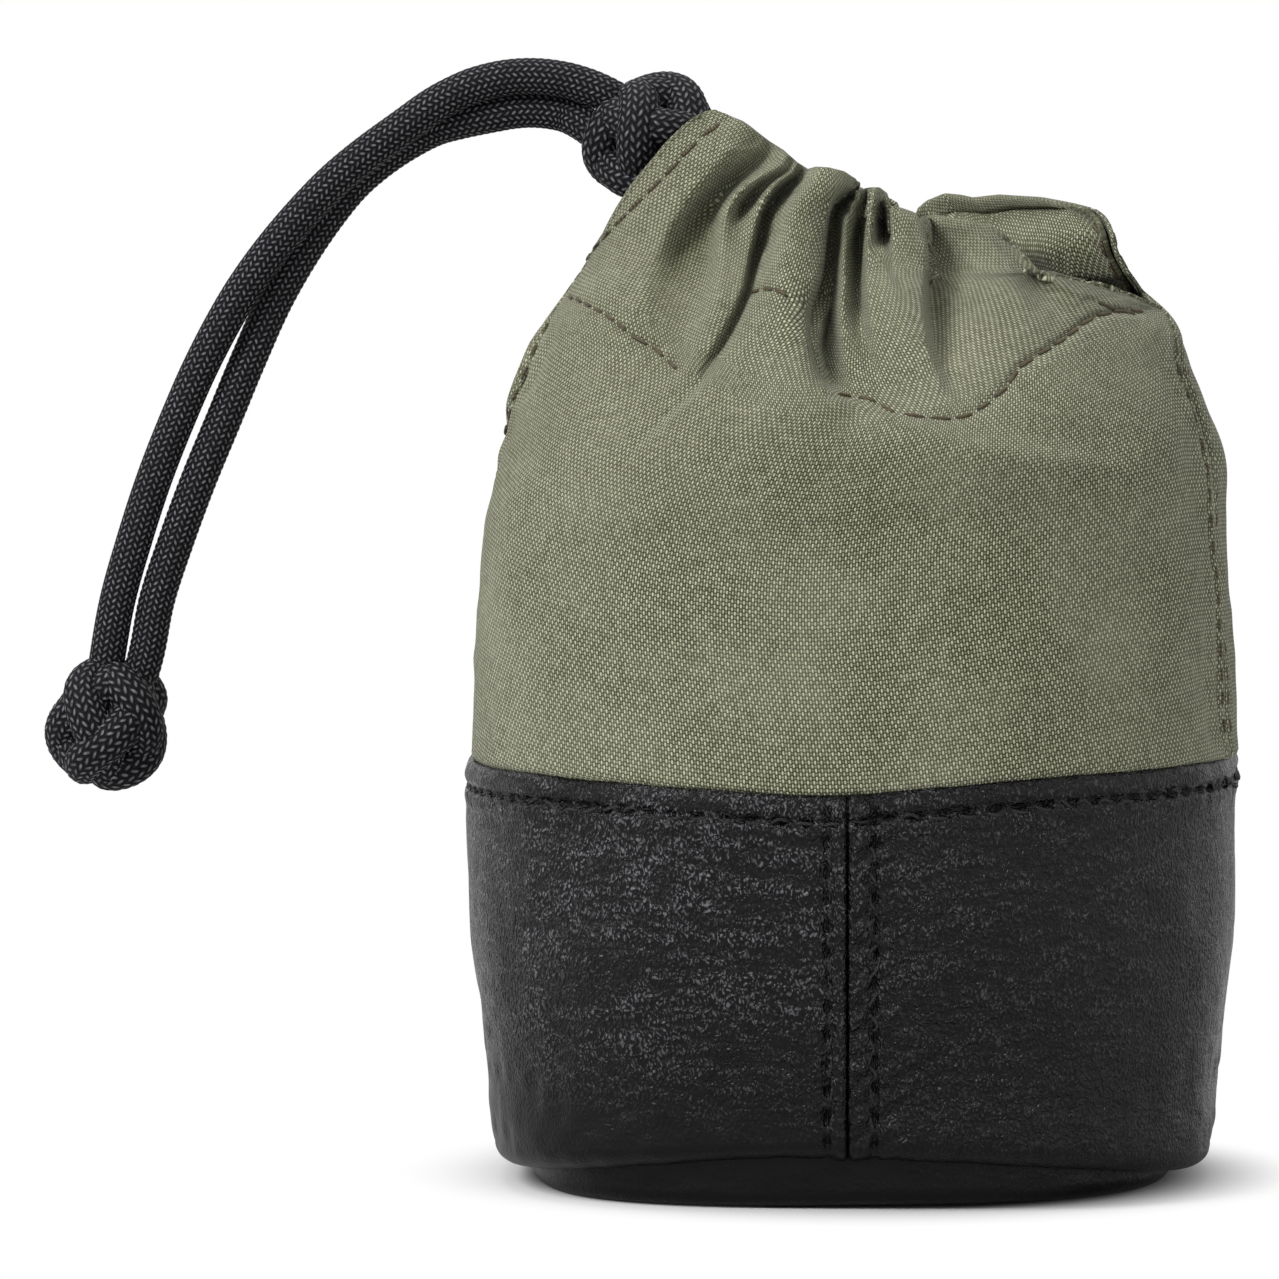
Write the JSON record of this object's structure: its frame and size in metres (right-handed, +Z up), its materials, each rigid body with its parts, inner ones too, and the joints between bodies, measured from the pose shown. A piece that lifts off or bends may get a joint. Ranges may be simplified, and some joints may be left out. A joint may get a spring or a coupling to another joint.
{
  "type": "lens pouch",
  "caption": "Padded drawstring pouch with a leather cup base, a canvas upper and gathered collar, and a cord with a sliding knot and an end knot.",
  "frame": {"origin": "middle of the flat underside of the base tray", "axes": "+Z up, from the base to the mouth; -Y towards the front, which has the front seam in the picture; the cord hangs on the -X side"},
  "size_m": [0.1344, 0.0884, 0.1236],
  "materials": {
    "leather": "black pebbled leather, satin",
    "canvas": "olive plain-weave canvas, matt",
    "lining_cloth": "dark thin cloth, matt",
    "foam": "grey padding, matt",
    "board": "fibre board, matt",
    "braided_cord": "black braided nylon, semi-matt",
    "black_thread": "black sewing thread",
    "brown_thread": "brown sewing thread"
  },
  "bodies": {
    "pouch": {"leather_panel_left": "leather", "leather_panel_right": "leather", "base_tray": "leather", "base_board": "board", "base_pad": "foam", "wall_padding": "foam", "lining": "lining_cloth", "canvas_panel_front": "canvas", "canvas_panel_back": "canvas", "collar_facing_front": "canvas", "collar_facing_back": "canvas", "drawcord_loop": "braided_cord", "upper_cord_arch": "braided_cord", "upper_cord_bend": "braided_cord", "lower_cord_arch": "braided_cord", "lower_cord_bend": "braided_cord", "rim_thread": "black_thread", "front_seam_thread_left": "black_thread", "front_seam_thread_right": "black_thread", "back_seam_thread_left": "black_thread", "back_seam_thread_right": "black_thread", "side_thread_left_front": "brown_thread", "side_thread_left_back": "brown_thread", "side_thread_right_front": "brown_thread", "side_thread_right_back": "brown_thread", "hem_thread_front": "brown_thread", "hem_thread_back": "brown_thread", "slit_thread_front_left": "brown_thread", "slit_thread_front_right": "brown_thread", "slit_thread_back_right": "brown_thread", "slit_thread_back_left": "brown_thread"},
    "slider": {"sliding_knot": "braided_cord"},
    "tails": {"upper_cord_tail": "braided_cord", "lower_cord_tail": "braided_cord", "end_knot": "braided_cord"}
  },
  "joints": [
    {"name": "knot_slide", "type": "hinge", "parent": "pouch", "child": "slider", "pos_m": [-0.0361, 0, 0.1027], "axis": [0, -1, 0], "range_deg": [0, 38]},
    {"name": "tail_swing", "type": "hinge", "parent": "pouch", "child": "tails", "pos_m": [-0.0468, 0.0018, 0.1166], "axis": [0, -1, 0], "range_deg": [-25, 22], "stiffness_Nm_per_rad": 0.05, "deforming": ["upper_cord_bend", "lower_cord_bend"]}
  ]
}
